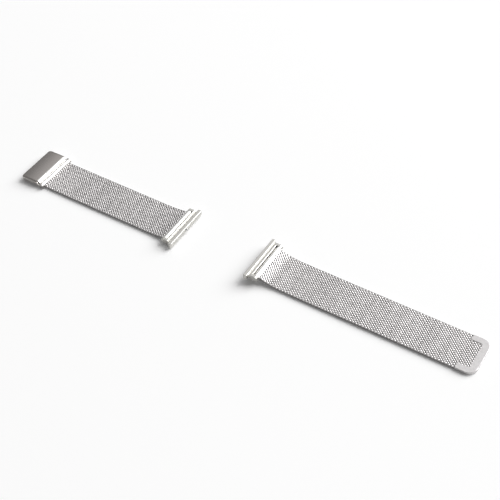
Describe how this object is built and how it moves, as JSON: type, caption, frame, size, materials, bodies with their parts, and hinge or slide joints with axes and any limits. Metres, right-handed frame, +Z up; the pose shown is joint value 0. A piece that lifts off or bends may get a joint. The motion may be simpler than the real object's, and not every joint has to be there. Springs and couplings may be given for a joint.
{
  "type": "milanese mesh watch band",
  "caption": "Woven steel mesh watch band in halves: flip-lid sliding clasp on the short one, U-trimmed tail on the long one, each with a slide-in spring-bar adapter.",
  "frame": {"origin": "on the surface, under the middle of the gap that the watch case fills, between the two adapters", "axes": "+X along the band towards the tail, +Y across it, +Z up out of the band's outer face"},
  "size_m": [0.2248, 0.024, 0.0044],
  "materials": {
    "woven_mesh": "woven steel wire, softly polished",
    "bright_steel": "polished",
    "satin_steel": "satin, brushed along the lid",
    "pressed_steel": "pressed sheet, satin",
    "adapter_steel": "fine blasted",
    "trim_steel": "softly polished",
    "turned_steel": "turned",
    "spring_wire": "drawn wire"
  },
  "bodies": {
    "short_adapter": {"short_adapter": "adapter_steel", "short_detent_spring": "spring_wire", "short_bar_tube": "turned_steel", "short_bar_spring": "spring_wire"},
    "short_detent": {"short_detent_plunger": "turned_steel"},
    "short_tip_near": {"short_bar_tip_near": "turned_steel"},
    "short_tip_far": {"short_bar_tip_far": "turned_steel"},
    "short_mesh_01": {"short_end_tube": "bright_steel", "short_mesh_01": "woven_mesh"},
    "short_mesh_02": {"short_mesh_02": "woven_mesh"},
    "short_mesh_03": {"short_mesh_03": "woven_mesh"},
    "short_mesh_04": {"short_mesh_04": "woven_mesh"},
    "short_mesh_05": {"short_mesh_05": "woven_mesh"},
    "short_mesh_06": {"short_mesh_06": "woven_mesh"},
    "short_mesh_07": {"short_mesh_07": "woven_mesh"},
    "short_mesh_08": {"short_mesh_08": "woven_mesh"},
    "short_mesh_09": {"short_mesh_09": "woven_mesh", "clasp_end_bar": "bright_steel", "clasp_end_pin": "turned_steel"},
    "long_adapter": {"long_adapter": "adapter_steel", "long_detent_spring": "spring_wire", "long_bar_tube": "turned_steel", "long_bar_spring": "spring_wire"},
    "long_detent": {"long_detent_plunger": "turned_steel"},
    "long_tip_near": {"long_bar_tip_near": "turned_steel"},
    "long_tip_far": {"long_bar_tip_far": "turned_steel"},
    "long_mesh_01": {"long_end_tube": "bright_steel", "long_mesh_01": "woven_mesh"},
    "long_mesh_02": {"long_mesh_02": "woven_mesh"},
    "long_mesh_03": {"long_mesh_03": "woven_mesh"},
    "long_mesh_04": {"long_mesh_04": "woven_mesh"},
    "long_mesh_05": {"long_mesh_05": "woven_mesh"},
    "long_mesh_06": {"long_mesh_06": "woven_mesh"},
    "long_mesh_07": {"long_mesh_07": "woven_mesh"},
    "long_mesh_08": {"long_mesh_08": "woven_mesh"},
    "long_mesh_09": {"long_mesh_09": "woven_mesh"},
    "long_mesh_10": {"long_mesh_10": "woven_mesh"},
    "long_mesh_11": {"long_mesh_11": "woven_mesh", "tip_trim": "trim_steel"},
    "clasp_frame": {"clasp_frame": "pressed_steel", "lid_hinge_pin": "turned_steel"},
    "clasp_lid": {"clasp_lid": "satin_steel", "lid_lock_bar": "pressed_steel"}
  },
  "joints": [
    {"name": "short_detent_press", "type": "slide", "parent": "short_adapter", "child": "short_detent", "axis": [-1, 0, 0], "range_m": [0, 0.00045], "stiffness_N_per_m": 300, "springref_m": -0.001, "deforming": ["short_detent_spring"]},
    {"name": "short_tip_near_press", "type": "slide", "parent": "short_adapter", "child": "short_tip_near", "axis": [0, 1, 0], "range_m": [0, 0.00085], "stiffness_N_per_m": 300, "springref_m": -0.001, "deforming": ["short_bar_spring"]},
    {"name": "short_tip_far_press", "type": "slide", "parent": "short_adapter", "child": "short_tip_far", "axis": [0, -1, 0], "range_m": [0, 0.00085], "stiffness_N_per_m": 300, "springref_m": -0.001},
    {"name": "short_adapter_pivot", "type": "hinge", "parent": "short_adapter", "child": "short_mesh_01", "pos_m": [-0.0232, 0, 0.0019], "axis": [0, 1, 0], "range_deg": [-30, 30]},
    {"name": "short_curl", "type": "hinge", "parent": "short_mesh_01", "child": "short_mesh_02", "pos_m": [-0.0293, 0, 0.001], "axis": [0, 1, 0], "range_deg": [-18, 18]},
    {"name": "short_bend_02", "type": "hinge", "parent": "short_mesh_02", "child": "short_mesh_03", "pos_m": [-0.0373, 0, 0.00075], "axis": [0, 1, 0], "range_deg": [-18, 18]},
    {"name": "short_bend_03", "type": "hinge", "parent": "short_mesh_03", "child": "short_mesh_04", "pos_m": [-0.04505, 0, 0.00075], "axis": [0, 1, 0], "range_deg": [-18, 18]},
    {"name": "short_bend_04", "type": "hinge", "parent": "short_mesh_04", "child": "short_mesh_05", "pos_m": [-0.0528, 0, 0.00075], "axis": [0, 1, 0], "range_deg": [-18, 18]},
    {"name": "short_bend_05", "type": "hinge", "parent": "short_mesh_05", "child": "short_mesh_06", "pos_m": [-0.06055, 0, 0.00075], "axis": [0, 1, 0], "range_deg": [-18, 18]},
    {"name": "short_bend_06", "type": "hinge", "parent": "short_mesh_06", "child": "short_mesh_07", "pos_m": [-0.0683, 0, 0.00075], "axis": [0, 1, 0], "range_deg": [-18, 18]},
    {"name": "short_bend_07", "type": "hinge", "parent": "short_mesh_07", "child": "short_mesh_08", "pos_m": [-0.07605, 0, 0.00075], "axis": [0, 1, 0], "range_deg": [-18, 18]},
    {"name": "short_bend_08", "type": "hinge", "parent": "short_mesh_08", "child": "short_mesh_09", "pos_m": [-0.0838, 0, 0.00075], "axis": [0, 1, 0], "range_deg": [-18, 18]},
    {"name": "long_detent_press", "type": "slide", "parent": "long_adapter", "child": "long_detent", "axis": [1, 0, 0], "range_m": [0, 0.00045], "stiffness_N_per_m": 300, "springref_m": -0.001, "deforming": ["long_detent_spring"]},
    {"name": "long_tip_near_press", "type": "slide", "parent": "long_adapter", "child": "long_tip_near", "axis": [0, 1, 0], "range_m": [0, 0.00085], "stiffness_N_per_m": 300, "springref_m": -0.001, "deforming": ["long_bar_spring"]},
    {"name": "long_tip_far_press", "type": "slide", "parent": "long_adapter", "child": "long_tip_far", "axis": [0, -1, 0], "range_m": [0, 0.00085], "stiffness_N_per_m": 300, "springref_m": -0.001},
    {"name": "long_half_slide", "type": "slide", "parent": "short_adapter", "child": "long_adapter", "axis": [0, 1, 0], "range_m": [-0.031, 0.031]},
    {"name": "long_adapter_pivot", "type": "hinge", "parent": "long_adapter", "child": "long_mesh_01", "pos_m": [0.0232, 0, 0.0032], "axis": [0, -1, 0], "range_deg": [-30, 30]},
    {"name": "long_curl", "type": "hinge", "parent": "long_mesh_01", "child": "long_mesh_02", "pos_m": [0.0293, 0, 0.0014], "axis": [0, -1, 0], "range_deg": [-15, 15]},
    {"name": "long_bend_02", "type": "hinge", "parent": "long_mesh_02", "child": "long_mesh_03", "pos_m": [0.0373, 0, 0.00075], "axis": [0, -1, 0], "range_deg": [-15, 15]},
    {"name": "long_bend_03", "type": "hinge", "parent": "long_mesh_03", "child": "long_mesh_04", "pos_m": [0.04639, 0, 0.00075], "axis": [0, -1, 0], "range_deg": [-15, 15]},
    {"name": "long_bend_04", "type": "hinge", "parent": "long_mesh_04", "child": "long_mesh_05", "pos_m": [0.05547, 0, 0.00075], "axis": [0, -1, 0], "range_deg": [-15, 15]},
    {"name": "long_bend_05", "type": "hinge", "parent": "long_mesh_05", "child": "long_mesh_06", "pos_m": [0.06456, 0, 0.00075], "axis": [0, -1, 0], "range_deg": [-15, 15]},
    {"name": "long_bend_06", "type": "hinge", "parent": "long_mesh_06", "child": "long_mesh_07", "pos_m": [0.07365, 0, 0.00075], "axis": [0, -1, 0], "range_deg": [-15, 15]},
    {"name": "long_bend_07", "type": "hinge", "parent": "long_mesh_07", "child": "long_mesh_08", "pos_m": [0.08274, 0, 0.00075], "axis": [0, -1, 0], "range_deg": [-15, 15]},
    {"name": "long_bend_08", "type": "hinge", "parent": "long_mesh_08", "child": "long_mesh_09", "pos_m": [0.09183, 0, 0.00075], "axis": [0, -1, 0], "range_deg": [-15, 15]},
    {"name": "long_bend_09", "type": "hinge", "parent": "long_mesh_09", "child": "long_mesh_10", "pos_m": [0.10091, 0, 0.00075], "axis": [0, -1, 0], "range_deg": [-15, 15]},
    {"name": "long_bend_10", "type": "hinge", "parent": "long_mesh_10", "child": "long_mesh_11", "pos_m": [0.11, 0, 0.00075], "axis": [0, -1, 0], "range_deg": [-15, 15]},
    {"name": "clasp_pivot", "type": "hinge", "parent": "short_mesh_09", "child": "clasp_frame", "pos_m": [-0.0929, 0, 0.0013], "axis": [0, 1, 0], "range_deg": [-45, 45]},
    {"name": "lid_hinge", "type": "hinge", "parent": "clasp_frame", "child": "clasp_lid", "pos_m": [-0.0956, 0, 0.00175], "axis": [0, 1, 0], "range_deg": [0, 100]}
  ],
  "couplings": [
    {"joint": "short_bend_02", "follows": "short_curl", "ratio": 1},
    {"joint": "short_bend_03", "follows": "short_curl", "ratio": 1},
    {"joint": "short_bend_04", "follows": "short_curl", "ratio": 1},
    {"joint": "short_bend_05", "follows": "short_curl", "ratio": 1},
    {"joint": "short_bend_06", "follows": "short_curl", "ratio": 1},
    {"joint": "short_bend_07", "follows": "short_curl", "ratio": 1},
    {"joint": "short_bend_08", "follows": "short_curl", "ratio": 1},
    {"joint": "long_bend_02", "follows": "long_curl", "ratio": 1},
    {"joint": "long_bend_03", "follows": "long_curl", "ratio": 1},
    {"joint": "long_bend_04", "follows": "long_curl", "ratio": 1},
    {"joint": "long_bend_05", "follows": "long_curl", "ratio": 1},
    {"joint": "long_bend_06", "follows": "long_curl", "ratio": 1},
    {"joint": "long_bend_07", "follows": "long_curl", "ratio": 1},
    {"joint": "long_bend_08", "follows": "long_curl", "ratio": 1},
    {"joint": "long_bend_09", "follows": "long_curl", "ratio": 1},
    {"joint": "long_bend_10", "follows": "long_curl", "ratio": 1}
  ]
}
